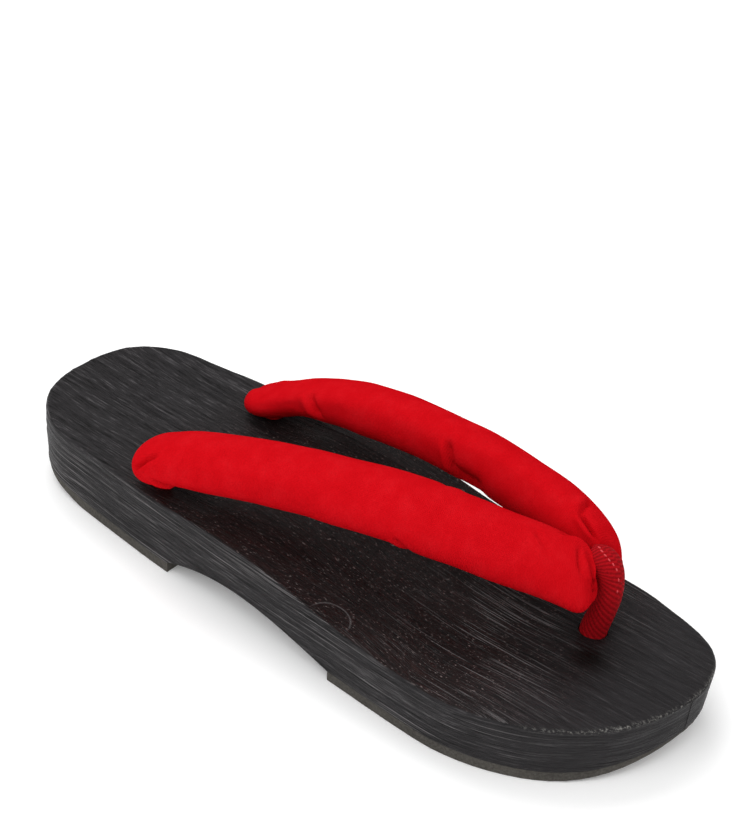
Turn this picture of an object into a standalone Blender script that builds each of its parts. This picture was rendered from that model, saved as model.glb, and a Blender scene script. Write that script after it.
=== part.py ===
"""Low geta for the right foot: a carved wooden board on two rubber pads, with a padded cloth strap.

Metres, +Z up, +Y towards the toe, +X towards the wearer's right, which is the little-toe side.
The origin lies under the middle of the sandal, on the plane that it stands on.
"""
import math

import bmesh
import bpy
from mathutils import Matrix, Vector

# Board
LENGTH = 0.245
WIDTH = 0.0914
BOARD_HEIGHT = 0.0275
SIDE_LEAN = 0.0036
EDGE_ROUND = 0.0016
SEAT_DIP = 0.0012
ARCH_HEIGHT = 0.0113
ARCH_SKEW = 0.85

# Rubber pads
PAD_THICKNESS = 0.0042
PAD_EDGE_THICKNESS = 0.0017
PAD_INSET = 0.0004
HEEL_PAD_FRONT = 0.3135 * LENGTH
HEEL_BEVEL_LENGTH = 0.0340
HEEL_BEVEL_RISE = 0.0058
HEEL_BEVEL_POWER = 1.3
FORE_PAD_BACK = 0.600 * LENGTH
TOE_SPRING_LENGTH = 0.0300
TOE_SPRING = 0.0074
TOE_SPRING_POWER = 3.0

# Padded strap
STRAP_WIDTH = 0.265 * WIDTH
STRAP_THICKNESS = 0.0180
STRAP_HEIGHT = 0.0530
REAR_CAP_LENGTH = 0.0100
FRONT_CAP_LENGTH = 0.0070
REAR_CAP_POWER = 2.4
FRONT_CAP_POWER = 2.4
NECK_RADIUS = 0.0024

# Cloth tails of the strap, each knotted in a counterbore under the board
TAIL_RADIUS = 0.0033
TAIL_SETBACK = 0.0090
TAIL_DRILL_CLEARANCE = 0.0008
TAIL_KNOT_RADIUS = 0.066 * WIDTH
TAIL_KNOT_HEIGHT = 0.0080

# Toe thong
THONG_WIDTH = 0.0094
THONG_THICKNESS = 0.0088
THONG_DRILL_CLEARANCE = 0.0003
THONG_KNOT_RADIUS = 0.0074
THONG_KNOT_HEIGHT = 0.0080
COUNTERBORE_CLEARANCE = 0.0005

# The lean of the sides fades from the tips inwards with this odd power.
TIP_LEAN_POWER = 9

GAP = 0.0003
ROWS_PER_ROUND = 12
ROWS_PER_LENGTH = 30
BOARD_COLUMNS = 6
STRAP_SIDES = 18
STRAP_PARTS = 16
CAP_ANGLES = (10, 24, 38, 52, 66, 80)
DRILL_SIDES = 32

# Outline of the board from above, before its ends are rounded.
# along: share of LENGTH from the back of the heel. lateral, medial: shares of half WIDTH.
OUTLINE = (
    # along, lateral, medial
    (0.00, 0.690, 0.770),
    (0.10, 0.725, 0.797),
    (0.20, 0.789, 0.868),
    (0.30, 0.852, 0.906),
    (0.45, 0.920, 0.958),
    (0.60, 0.967, 0.989),
    (0.75, 1.000, 0.998),
    (0.85, 1.000, 0.975),
    (0.92, 1.000, 0.905),
    (1.00, 1.000, 0.880),
)

# Round ends of the outline. tip: where the end's tip lies across, as a share of half WIDTH.
# run: share of LENGTH that the end takes. power: 2 is a true ellipse.
# The two tips are flat where the outline comes as near to them as TIP_FLAT_SHARE of LENGTH.
HEEL_ROUND = (-0.040, 0.120, 2.3)
LATERAL_TOE_ROUND = (-0.318, 0.250, 2.0)
MEDIAL_TOE_ROUND = (-0.318, 0.100, 2.3)
TIP_FLAT_SHARE = 0.0006

# Upper face and sides of the board. height: share of BOARD_HEIGHT.
# dip: share of SEAT_DIP at the middle. lean: share of SIDE_LEAN at the floor.
FOOTBED = (
    # along, height, dip, lean
    (0.00, 1.000, 0.3, 0.6),
    (0.14, 0.965, 1.0, 0.6),
    (0.28, 0.975, 0.8, 0.6),
    (0.39, 1.040, 0.2, 0.7),
    (0.49, 1.015, 0.2, 0.8),
    (0.60, 0.890, 0.6, 1.0),
    (0.72, 0.805, 0.8, 0.9),
    (0.86, 0.805, 0.5, 0.9),
    (1.00, 0.815, 0.1, 0.4),
)

# The padded arms from their rear ends to their front ends, at the middle of the section.
# along: share of LENGTH. across: share of half WIDTH. height: share of STRAP_HEIGHT.
# tilt: degrees that the outer edge hangs. width, thick: shares of STRAP_WIDTH and STRAP_THICKNESS.
# rake: degrees that the lower edge runs ahead of the upper one, where the thong ties the arm down.
LATERAL_ARM = (
    # along, across, height, tilt, width, thick, rake
    (0.233, 0.610, 0.585, 5, 0.98, 0.86, 0),
    (0.270, 0.632, 0.670, 5, 1.00, 0.94, 0),
    (0.318, 0.650, 0.790, 6, 1.00, 1.00, 0),
    (0.384, 0.584, 0.870, 10, 1.00, 1.00, 0),
    (0.453, 0.481, 0.922, 14, 1.00, 1.00, 0),
    (0.527, 0.387, 0.958, 18, 1.03, 1.02, 0),
    (0.596, 0.287, 0.978, 22, 1.05, 1.04, 0),
    (0.665, 0.184, 0.967, 25, 1.04, 1.04, 0),
    (0.712, 0.100, 0.947, 28, 1.02, 1.04, 4),
    (0.759, 0.014, 0.930, 34, 1.00, 1.02, 12),
    (0.792, -0.032, 0.922, 42, 0.98, 1.00, 21),
    (0.820, -0.068, 0.910, 50, 0.96, 0.88, 29),
    (0.846, -0.096, 0.890, 58, 0.94, 0.74, 35),
)
MEDIAL_ARM = (
    # along, across, height, tilt, width, thick, rake
    (0.227, -0.585, 0.540, 5, 0.98, 0.64, 0),
    (0.270, -0.625, 0.610, 6, 1.00, 0.66, 0),
    (0.318, -0.645, 0.735, 8, 1.00, 0.66, 0),
    (0.365, -0.648, 0.820, 10, 1.00, 0.82, 0),
    (0.408, -0.648, 0.872, 12, 1.00, 0.94, 0),
    (0.502, -0.630, 0.945, 20, 1.00, 1.00, 0),
    (0.571, -0.608, 0.978, 28, 1.01, 1.03, 0),
    (0.641, -0.588, 0.982, 36, 1.02, 1.06, 0),
    (0.712, -0.542, 0.970, 42, 1.02, 1.08, 0),
    (0.759, -0.497, 0.956, 46, 1.02, 1.06, 6),
    (0.790, -0.460, 0.946, 52, 0.98, 1.00, 14),
    (0.815, -0.425, 0.924, 58, 0.92, 0.86, 22),
    (0.840, -0.395, 0.892, 63, 0.84, 0.70, 30),
)

# An arm's direction is taken between the points this share of LENGTH before and after.
DIRECTION_REACH = 0.004

# The toe thong from its knot to its top, where it comes over between the arms.
# thick: share of THONG_THICKNESS. wide: share of THONG_WIDTH.
THONG = (
    # along, across, height, thick, wide
    (0.8360, -0.357, 0.180, 1.00, 0.94),
    (0.8362, -0.357, 0.400, 1.00, 0.94),
    (0.8430, -0.346, 0.560, 0.96, 0.96),
    (0.8485, -0.326, 0.720, 0.98, 0.98),
    (0.8475, -0.306, 0.860, 1.00, 1.00),
    (0.8410, -0.288, 0.940, 1.00, 1.02),
    (0.8310, -0.275, 0.977, 0.80, 0.94),
    (0.8190, -0.264, 0.987, 0.52, 0.60),
)

# The strap's neck inside the thong: its middle as in THONG, and its reach as a share of THONG_WIDTH.
NECK_SHARES = (0.8370, -0.306, 0.870)
NECK_REACH = 0.78


def read(table, at, column):
    """Smooth reading of one column of a table, with each row's slope taken from its neighbours."""
    last = len(table) - 1
    at = min(max(at, table[0][0]), table[last][0])
    low = max(i for i in range(last) if table[i][0] <= at)
    high = low + 1

    def slope(i):
        before, after = table[max(i - 1, 0)], table[min(i + 1, last)]
        return (after[column] - before[column]) / (after[0] - before[0])

    span = table[high][0] - table[low][0]
    t = (at - table[low][0]) / span
    return (
        (2 * t**3 - 3 * t**2 + 1) * table[low][column]
        + (t**3 - 2 * t**2 + t) * span * slope(low)
        + (3 * t**2 - 2 * t**3) * table[high][column]
        + (t**3 - t**2) * span * slope(high)
    )


def round_share(distance, run, power):
    """Half breadth of a round end, as a share, at a distance in from its tip."""
    short = 1.0 - min(max(distance, 0.0) / run, 1.0)
    return (1.0 - short**power) ** (1.0 / power)


def board_side(along, side):
    """Distance of the board's edge from the middle line, on the lateral (+1) or medial (-1) side."""
    along = min(max(along, TIP_FLAT_SHARE), 1.0 - TIP_FLAT_SHARE)
    edge = side * read(OUTLINE, along, 1 if side > 0 else 2)
    toe_round = LATERAL_TOE_ROUND if side > 0 else MEDIAL_TOE_ROUND
    for distance, (tip, run, power) in ((along, HEEL_ROUND), (1.0 - along, toe_round)):
        edge = tip + (edge - tip) * round_share(distance, run, power)
    return edge * WIDTH / 2


def board_rows():
    """Shares of the length at which the board has a row of points, closer together at its ends."""
    steps = [i / ROWS_PER_ROUND for i in range(ROWS_PER_ROUND + 1)]
    turns = [1 - math.cos(t * math.pi / 2) for t in steps]
    heel = [HEEL_ROUND[1] * turn for turn in turns]
    toe = [1 - LATERAL_TOE_ROUND[1] * turn for turn in reversed(turns)]
    stops = [heel[-1], HEEL_PAD_FRONT / LENGTH, FORE_PAD_BACK / LENGTH, toe[0]]
    middle = []
    for start, end in zip(stops, stops[1:]):
        parts = max(2, round((end - start) * ROWS_PER_LENGTH))
        middle += [start + (end - start) * i / parts for i in range(parts)]
    return heel[:-1] + middle + toe


def place(along, across, height):
    """A point from its share of the length, its share of half the width and its height."""
    return Vector((across * WIDTH / 2, (along - 0.5) * LENGTH, height))


def footbed(along, across=1.0):
    """Height of the board's upper face. across runs from -1 to 1 between the two edges."""
    dip = SEAT_DIP * read(FOOTBED, along, 2) * (1.0 - across**2)
    return BOARD_HEIGHT * read(FOOTBED, along, 1) - dip


def heel_lift(along):
    """How much of the heel's bevel is reached: 0 on the flat tread, 1 at the back."""
    return 1.0 - min(along * LENGTH / HEEL_BEVEL_LENGTH, 1.0) ** HEEL_BEVEL_POWER


def toe_lift(along):
    """How much of the toe spring is reached: 0 on the flat tread, 1 at the tip."""
    run = 1.0 - (1.0 - along) * LENGTH / TOE_SPRING_LENGTH
    return max(run, 0.0) ** TOE_SPRING_POWER


def tread(along):
    """Height of the pads' lower face."""
    return HEEL_BEVEL_RISE * heel_lift(along) + TOE_SPRING * toe_lift(along)


def underside(along):
    """Height of the board's lower face: over the pads, and arched between them."""
    start, end = HEEL_PAD_FRONT / LENGTH, FORE_PAD_BACK / LENGTH
    if start < along < end:
        arch = math.sin(math.pi * ((along - start) / (end - start)) ** ARCH_SKEW)
        return PAD_THICKNESS + (ARCH_HEIGHT - PAD_THICKNESS) * arch
    lift = max(heel_lift(along), toe_lift(along))
    return tread(along) + PAD_THICKNESS - (PAD_THICKNESS - PAD_EDGE_THICKNESS) * lift


def lean(along, height):
    """How far the board's side has leaned in at a height."""
    drop = max(footbed(along) - EDGE_ROUND - height, 0.0) / BOARD_HEIGHT
    return SIDE_LEAN * read(FOOTBED, along, 3) * drop


def new_mesh_object(name, bm, collection):
    """Turn a bmesh into an object of the collection."""
    bmesh.ops.recalc_face_normals(bm, faces=bm.faces)
    mesh = bpy.data.meshes.new(name)
    bm.to_mesh(mesh)
    bm.free()
    obj = bpy.data.objects.new(name, mesh)
    collection.objects.link(obj)
    return obj


def slab(name, collection, rows, top, bottom, inset=0.0, edge_round=0.0):
    """A solid with the board's outline between two faces: a shaped grid and its extrusion."""
    bm = bmesh.new()
    bmesh.ops.create_grid(bm, x_segments=BOARD_COLUMNS, y_segments=len(rows) - 1, size=1.0)
    across = bm.verts.layers.float.new("across")
    along = bm.verts.layers.float.new("along")
    for vert in bm.verts:
        vert[across] = vert.co.x
        vert[along] = rows[round((vert.co.y + 1) / 2 * (len(rows) - 1))]
    upper = list(bm.verts)
    rim = [edge for edge in bm.edges if edge.is_boundary]
    made = bmesh.ops.extrude_face_region(bm, geom=list(bm.faces), use_keep_orig=True)
    lower = [item for item in made["geom"] if isinstance(item, bmesh.types.BMVert)]
    for verts, face in ((upper, top), (lower, bottom)):
        for vert in verts:
            height = face(vert[along], vert[across])
            lateral, medial = board_side(vert[along], 1), board_side(vert[along], -1)
            side = lean(vert[along], height) + inset
            breadth = max(lateral - medial - 2 * side, 0.0)
            middle = (lateral + medial) / 2
            end_pull = side * (1.0 - 2.0 * vert[along]) ** TIP_LEAN_POWER
            forward = (vert[along] - 0.5) * LENGTH + end_pull
            vert.co = (middle + vert[across] * breadth / 2, forward, height)
    bmesh.ops.remove_doubles(bm, verts=bm.verts, dist=0.00001)
    bmesh.ops.recalc_face_normals(bm, faces=bm.faces)
    if edge_round:
        rim = [edge for edge in rim if edge.is_valid]
        bmesh.ops.bevel(
            bm, geom=rim, offset=edge_round, segments=2, profile=0.5, affect="EDGES", material=-1
        )
    return new_mesh_object(name, bm, collection)


def loft(name, collection, sections):
    """A closed tube through round sections, each given by the matrix that places its circle."""
    bm = bmesh.new()
    rings = []
    for matrix in sections:
        made = bmesh.ops.create_circle(bm, segments=STRAP_SIDES, radius=1.0, matrix=matrix)
        rings.append(made["verts"])
    loops = [[e for e in bm.edges if e.verts[0] in set(r) and e.verts[1] in set(r)] for r in rings]
    for first, second in zip(loops, loops[1:]):
        bmesh.ops.bridge_loops(bm, edges=first + second)
    for ring in (rings[0], rings[-1]):
        bmesh.ops.contextual_create(bm, geom=ring)
    return new_mesh_object(name, bm, collection)


def section(centre, forward, half_width, half_thick, tilt, rake):
    """Matrix of an oval section across a direction, tilted about it and raked up from it."""
    forward = forward.normalized()
    sideways = forward.cross(Vector((0, 0, 1))).normalized()
    forward = Matrix.Rotation(rake, 3, sideways) @ forward
    upward = sideways.cross(forward)
    turned = sideways * math.cos(tilt) - upward * math.sin(tilt)
    thickness = upward * math.cos(tilt) + sideways * math.sin(tilt)
    matrix = Matrix((turned * half_width, thickness * half_thick, forward)).transposed()
    return Matrix.Translation(centre) @ matrix.to_4x4()


def arm_point(table, along):
    """Middle of a padded arm at a share of the length."""
    return place(along, read(table, along, 1), read(table, along, 2) * STRAP_HEIGHT)


def arm(name, collection, table, side):
    """One padded arm of the strap, with a round blunt end at the heel and at the thong."""
    start, end = table[0][0], table[-1][0]
    rear, front = REAR_CAP_LENGTH / LENGTH, FRONT_CAP_LENGTH / LENGTH
    turns = [1 - math.cos(math.radians(angle)) for angle in CAP_ANGLES]
    first, last = start + rear, end - front
    stops = [start + rear * turn for turn in turns]
    stops += [first + (last - first) * i / STRAP_PARTS for i in range(STRAP_PARTS + 1)]
    stops += [end - front * turn for turn in reversed(turns)]
    sections = []
    for along in stops:
        cap = round_share(along - start, rear, REAR_CAP_POWER)
        cap *= round_share(end - along, front, FRONT_CAP_POWER)
        before, after = along - DIRECTION_REACH, along + DIRECTION_REACH
        forward = arm_point(table, after) - arm_point(table, before)
        tilt = side * math.radians(read(table, along, 3))
        half_width = cap * read(table, along, 4) * STRAP_WIDTH / 2
        half_thick = cap * read(table, along, 5) * STRAP_THICKNESS / 2
        rake = math.radians(read(table, along, 6))
        sections.append(section(arm_point(table, along), forward, half_width, half_thick, tilt, rake))
    return loft(name, collection, sections)


def thong_point(row):
    """Middle of the toe thong at a row of its table."""
    return place(THONG[row][0], THONG[row][1], THONG[row][2] * STRAP_HEIGHT)


def thong(name, collection, clearance=0.0):
    """The toe thong's outer shape, from its knot to its top. clearance makes it larger all round."""
    last = len(THONG) - 1
    sections = []
    for row in range(last + 1):
        forward = (thong_point(min(row + 1, last)) - thong_point(max(row - 1, 0))).normalized()
        sideways = Vector((1, 0, 0))
        half_width = THONG[row][4] * THONG_WIDTH / 2 + clearance
        half_thick = THONG[row][3] * THONG_THICKNESS / 2 + clearance
        centre = thong_point(row)
        if row == last:
            centre += forward * clearance
        across = forward.cross(sideways).normalized()
        sideways = across.cross(forward)
        matrix = Matrix((sideways * half_width, across * half_thick, forward)).transposed()
        sections.append(Matrix.Translation(centre) @ matrix.to_4x4())
    return loft(name, collection, sections)


def drum(name, collection, radius, start, end):
    """A cylinder between two points."""
    bm = bmesh.new()
    way = end - start
    turn = way.to_track_quat("Z", "Y").to_matrix().to_4x4()
    bmesh.ops.create_cone(
        bm,
        cap_ends=True,
        segments=DRILL_SIDES,
        radius1=radius,
        radius2=radius,
        depth=way.length,
        matrix=Matrix.Translation((start + end) / 2) @ turn,
    )
    return new_mesh_object(name, bm, collection)


def knot(name, collection, radius, height, centre):
    """A pulled-down knot: a flattened ball."""
    bm = bmesh.new()
    shape = Matrix.Translation(centre) @ Matrix.Diagonal((radius, radius, height / 2, 1.0))
    bmesh.ops.create_uvsphere(bm, u_segments=20, v_segments=12, radius=1.0, matrix=shape)
    return new_mesh_object(name, bm, collection)


def combine(obj, operation, other):
    """Join another object to this one, or cut this one with it."""
    modifier = obj.modifiers.new(operation.lower() + "_" + other.name, "BOOLEAN")
    modifier.operation = operation
    modifier.object = other
    modifier.solver = "EXACT"


def paint(obj, colour, roughness):
    """Give an object its own plain material."""
    material = bpy.data.materials.new(obj.name)
    material.use_nodes = True
    shader = material.node_tree.nodes["Principled BSDF"]
    shader.inputs["Base Color"].default_value = (*colour, 1.0)
    shader.inputs["Roughness"].default_value = roughness
    shader.inputs["Metallic"].default_value = 0.0
    obj.data.materials.append(material)
    obj.data.shade_smooth()
    obj.data.set_sharp_from_angle(angle=math.radians(35))


def tail_spot(table):
    """Where a tail of the strap goes down through the board, as a point at floor height."""
    along = table[0][0] + TAIL_SETBACK / LENGTH
    return place(along, read(table, along, 1), 0.0)


def counterbore_ceiling(spot, knot_height):
    """Height of the roof of a counterbore that just hides its knot above the pad's lower face."""
    along = spot.y / LENGTH + 0.5
    return underside(along) + knot_height + COUNTERBORE_CLEARANCE


def drill_board(tools, name, board, pad, spot, radius, bore_radius, ceiling):
    """Drill a strap hole through the board, and counterbore it from below through the pad."""
    over = Vector((0, 0, BOARD_HEIGHT * 2))
    under = Vector((0, 0, -BOARD_HEIGHT))
    roof = Vector((spot.x, spot.y, ceiling))
    drill = drum("drill_" + name, tools, radius, spot, spot + over)
    bore = drum("bore_" + name, tools, bore_radius, spot + under, roof)
    combine(board, "DIFFERENCE", drill)
    combine(board, "DIFFERENCE", bore)
    combine(pad, "DIFFERENCE", bore)


def build():
    """Model the sandal."""
    for obj in list(bpy.data.objects):
        bpy.data.objects.remove(obj, do_unlink=True)
    parts = bpy.data.collections.new("low_geta")
    tools = bpy.data.collections.new("cutters_and_joined_pieces")
    bpy.context.scene.collection.children.link(parts)
    bpy.context.scene.collection.children.link(tools)

    rows = board_rows()
    heel_rows = [r for r in rows if r * LENGTH <= HEEL_PAD_FRONT + GAP]
    fore_rows = [r for r in rows if r * LENGTH >= FORE_PAD_BACK - GAP]

    board = slab(
        "wood_base", parts, rows, footbed, lambda along, across: underside(along), 0.0, EDGE_ROUND
    )
    pads = [
        slab(
            name,
            parts,
            pad_rows,
            lambda along, across: underside(along) - GAP,
            lambda along, across: tread(along),
            PAD_INSET,
        )
        for name, pad_rows in (("heel_pad", heel_rows), ("forefoot_pad", fore_rows))
    ]

    hanao = arm("hanao", parts, LATERAL_ARM, 1)
    combine(hanao, "UNION", arm("medial_arm", tools, MEDIAL_ARM, -1))
    seat = slab(
        "board_clearance",
        tools,
        rows,
        lambda along, across: footbed(along, across) + GAP,
        lambda along, across: 0.0,
        -EDGE_ROUND,
    )
    combine(hanao, "DIFFERENCE", seat)
    combine(hanao, "DIFFERENCE", thong("thong_clearance", tools, GAP))
    maetsubo = thong("maetsubo", parts)

    neck_along, neck_across, neck_height = NECK_SHARES
    neck_middle = place(neck_along, neck_across, neck_height * STRAP_HEIGHT)
    neck_reach = Vector((NECK_REACH * THONG_WIDTH, 0, 0))
    neck = drum("neck", tools, NECK_RADIUS, neck_middle - neck_reach, neck_middle + neck_reach)
    combine(hanao, "UNION", neck)
    passage = drum(
        "neck_passage", tools, NECK_RADIUS + GAP, neck_middle - neck_reach, neck_middle + neck_reach
    )
    combine(maetsubo, "DIFFERENCE", passage)

    bore_radius = TAIL_KNOT_RADIUS + COUNTERBORE_CLEARANCE
    drill_radius = TAIL_RADIUS + TAIL_DRILL_CLEARANCE
    for side, table in (("lateral", LATERAL_ARM), ("medial", MEDIAL_ARM)):
        spot = tail_spot(table)
        ceiling = counterbore_ceiling(spot, TAIL_KNOT_HEIGHT)
        arm_middle = arm_point(table, spot.y / LENGTH + 0.5)
        knot_middle = Vector((spot.x, spot.y, ceiling - GAP - TAIL_KNOT_HEIGHT / 2))
        tail = drum("tail_" + side, tools, TAIL_RADIUS, knot_middle, arm_middle)
        ball = knot("knot_" + side, tools, TAIL_KNOT_RADIUS, TAIL_KNOT_HEIGHT, knot_middle)
        combine(hanao, "UNION", tail)
        combine(hanao, "UNION", ball)
        drill_board(tools, side, board, pads[0], spot, drill_radius, bore_radius, ceiling)

    spot = place(THONG[0][0], THONG[0][1], 0.0)
    ceiling = counterbore_ceiling(spot, THONG_KNOT_HEIGHT)
    knot_middle = Vector((spot.x, spot.y, ceiling - GAP - THONG_KNOT_HEIGHT / 2))
    ball = knot("knot_thong", tools, THONG_KNOT_RADIUS, THONG_KNOT_HEIGHT, knot_middle)
    combine(maetsubo, "UNION", ball)
    bore_radius = THONG_KNOT_RADIUS + COUNTERBORE_CLEARANCE
    drill_radius = THONG[0][4] * THONG_WIDTH / 2 + THONG_DRILL_CLEARANCE
    drill_board(tools, "thong", board, pads[1], spot, drill_radius, bore_radius, ceiling)

    paint(board, (0.018, 0.013, 0.012), 0.4)
    for pad in pads:
        paint(pad, (0.045, 0.040, 0.034), 0.85)
    paint(hanao, (0.68, 0.008, 0.014), 0.9)
    paint(maetsubo, (0.26, 0.004, 0.010), 0.85)
    for tool in tools.objects:
        tool.hide_render = True
        tool.display_type = "WIRE"


build()
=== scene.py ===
"""Low geta for the right foot: the looks of its wooden board, rubber pads and padded cloth strap."""

import math

import bmesh
import bpy
from mathutils import Matrix, Vector, kdtree, noise


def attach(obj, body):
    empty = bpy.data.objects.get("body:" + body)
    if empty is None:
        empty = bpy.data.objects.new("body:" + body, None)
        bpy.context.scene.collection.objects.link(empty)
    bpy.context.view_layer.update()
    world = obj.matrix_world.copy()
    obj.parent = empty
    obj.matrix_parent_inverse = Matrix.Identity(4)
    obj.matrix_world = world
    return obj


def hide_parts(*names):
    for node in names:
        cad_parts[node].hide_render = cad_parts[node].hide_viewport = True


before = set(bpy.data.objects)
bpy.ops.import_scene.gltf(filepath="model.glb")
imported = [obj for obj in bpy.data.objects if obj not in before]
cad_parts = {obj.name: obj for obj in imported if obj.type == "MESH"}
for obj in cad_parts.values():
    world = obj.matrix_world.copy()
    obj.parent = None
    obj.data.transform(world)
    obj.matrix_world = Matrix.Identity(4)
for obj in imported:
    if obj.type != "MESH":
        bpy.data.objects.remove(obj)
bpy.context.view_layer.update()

# Camera. A long lens looks down on the toe from the little-toe side, about 34 degrees above
# the floor, and is rolled a little, so that the sandal runs from the upper left to the lower right.
LENS_MM = 101.6
SENSOR_MM = 36.0
SEEN_FROM = 0.05
SEEN_TO = 20.0
CAMERA_PLACE = Vector((0.4949, 0.3268, 0.4662))
CAMERA_AIM = Vector((-0.0648, -0.0413, 0.0200))
CAMERA_ROLL = 8.0

camera_data = bpy.data.cameras.new("camera")
camera_data.sensor_width = SENSOR_MM
camera_data.lens = LENS_MM
camera_data.clip_start = SEEN_FROM
camera_data.clip_end = SEEN_TO
camera = bpy.data.objects.new("camera", camera_data)
bpy.context.scene.collection.objects.link(camera)
looking = (CAMERA_AIM - CAMERA_PLACE).normalized()
level_right = looking.cross(Vector((0, 0, 1))).normalized()
rolled = Matrix.Rotation(math.radians(-CAMERA_ROLL), 3, looking)
camera_right = rolled @ level_right
camera_up = camera_right.cross(looking)
turned = Matrix((camera_right, camera_up, -looking)).transposed().to_4x4()
camera.matrix_world = Matrix.Translation(CAMERA_PLACE) @ turned
bpy.context.scene.camera = camera


# Studio. A white table without edges, a white room and three large soft lights.
# The room is dimmer behind the heel, so that the black wood and the red cloth keep their depth.
TABLE_SIZE = 6.0
TABLE_DROP = 0.0002
TABLE_COLOUR = (0.93, 0.93, 0.93, 1.0)
TABLE_ROUGHNESS = 0.7
TABLE_GLOSS = 0.1
TABLE_GLOW = 0.13
WHITE = (1.0, 1.0, 1.0, 1.0)
ROOM_STRENGTH = 0.70
DIM_SIDE = (-0.70, -0.46, 0.55)
DIM_STRENGTH = 0.25
DIM_SPREAD = (0.60, 0.92)
LIGHTS = (
    # name, place, size, watts
    ("light_over_heel", (-0.35, -0.75, 1.25), 1.0, 10.0),
    ("light_over_toe", (-0.10, 0.75, 1.25), 0.9, 2.0),
    ("light_by_side", (0.95, 0.00, 1.20), 1.0, 9.0),
)


def node(tree, kind, **settings):
    """Add a shader node with its settings."""
    made = tree.nodes.new(kind)
    for name, value in settings.items():
        setattr(made, name, value)
    return made


def new_material(name):
    """A material with its node tree and its shader."""
    material = bpy.data.materials.new(name)
    material.use_nodes = True
    return material, material.node_tree, material.node_tree.nodes["Principled BSDF"]


table_mesh = bpy.data.meshes.new("studio_table")
bm = bmesh.new()
bmesh.ops.create_grid(bm, x_segments=1, y_segments=1, size=TABLE_SIZE / 2)
bmesh.ops.translate(bm, verts=bm.verts, vec=(0, 0, -TABLE_DROP))
bm.to_mesh(table_mesh)
bm.free()
studio_table = bpy.data.objects.new("studio_table", table_mesh)
bpy.context.scene.collection.objects.link(studio_table)
table_white, tree, shader = new_material("table_white")
shader.inputs["Base Color"].default_value = TABLE_COLOUR
shader.inputs["Roughness"].default_value = TABLE_ROUGHNESS
shader.inputs["Specular IOR Level"].default_value = TABLE_GLOSS
shader.inputs["Emission Color"].default_value = WHITE
shader.inputs["Emission Strength"].default_value = TABLE_GLOW
table_mesh.materials.append(table_white)

room = bpy.data.worlds.new("white_room")
room.use_nodes = True
tree = room.node_tree
background = tree.nodes["Background"]
background.inputs["Color"].default_value = WHITE
sky = node(tree, "ShaderNodeTexCoord").outputs["Generated"]
towards_dim = node(tree, "ShaderNodeVectorMath", operation="DOT_PRODUCT")
towards_dim.inputs[1].default_value = DIM_SIDE
tree.links.new(sky, towards_dim.inputs[0])
dimming = node(tree, "ShaderNodeMapRange", interpolation_type="SMOOTHSTEP")
dimming.inputs["From Min"].default_value = DIM_SPREAD[0]
dimming.inputs["From Max"].default_value = DIM_SPREAD[1]
dimming.inputs["To Min"].default_value = ROOM_STRENGTH
dimming.inputs["To Max"].default_value = DIM_STRENGTH
tree.links.new(towards_dim.outputs["Value"], dimming.inputs["Value"])
tree.links.new(dimming.outputs["Result"], background.inputs["Strength"])
bpy.context.scene.world = room
bpy.context.scene.view_settings.view_transform = "Standard"
bpy.context.scene.view_settings.look = "None"

for name, place_of_light, size, watts in LIGHTS:
    light_data = bpy.data.lights.new(name, "AREA")
    light_data.shape = "SQUARE"
    light_data.size = size
    light_data.energy = watts
    light = bpy.data.objects.new(name, light_data)
    light.location = place_of_light
    light.rotation_euler = (-Vector(place_of_light)).to_track_quat("-Z", "Y").to_euler()
    bpy.context.scene.collection.objects.link(light)


# Wooden board. One block of light wood, carved to an arched waist, scorched and brushed so that its
# grain stands up, and stained black. It is drilled for the strap and counterbored for the knots below.
LENGTH = 0.245
WIDTH = 0.0914
BOARD_HEIGHT = 0.0275
SIDE_LEAN = 0.0036
EDGE_ROUND = 0.0016
SEAT_DIP = 0.0012
ARCH_HEIGHT = 0.0113
ARCH_SKEW = 0.85
PAD_THICKNESS = 0.0042
PAD_EDGE_THICKNESS = 0.0017
HEEL_PAD_FRONT = 0.3135 * LENGTH
HEEL_BEVEL_LENGTH = 0.0340
HEEL_BEVEL_RISE = 0.0058
HEEL_BEVEL_POWER = 1.3
FORE_PAD_BACK = 0.600 * LENGTH
TOE_SPRING_LENGTH = 0.0300
TOE_SPRING = 0.0074
TOE_SPRING_POWER = 3.0
TIP_LEAN_POWER = 9
TIP_FLAT_SHARE = 0.0006
GAP = 0.0003
WELD = 0.00001
BOARD_ROWS_PER_ROUND = 24
BOARD_ROWS_PER_LENGTH = 210
BOARD_COLUMNS = 170
BOARD_LEVELS = 16
EDGE_CROWDING = 1.35
OUTLINE_STEPS = 2400
TIP_STEPS = 60
OUTLINE = (
    # along, lateral, medial: shares of LENGTH and of half WIDTH
    (0.00, 0.690, 0.770),
    (0.10, 0.725, 0.797),
    (0.20, 0.789, 0.868),
    (0.30, 0.852, 0.906),
    (0.45, 0.920, 0.958),
    (0.60, 0.967, 0.989),
    (0.75, 1.000, 0.998),
    (0.85, 1.000, 0.975),
    (0.92, 1.000, 0.905),
    (1.00, 1.000, 0.880),
)
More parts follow.
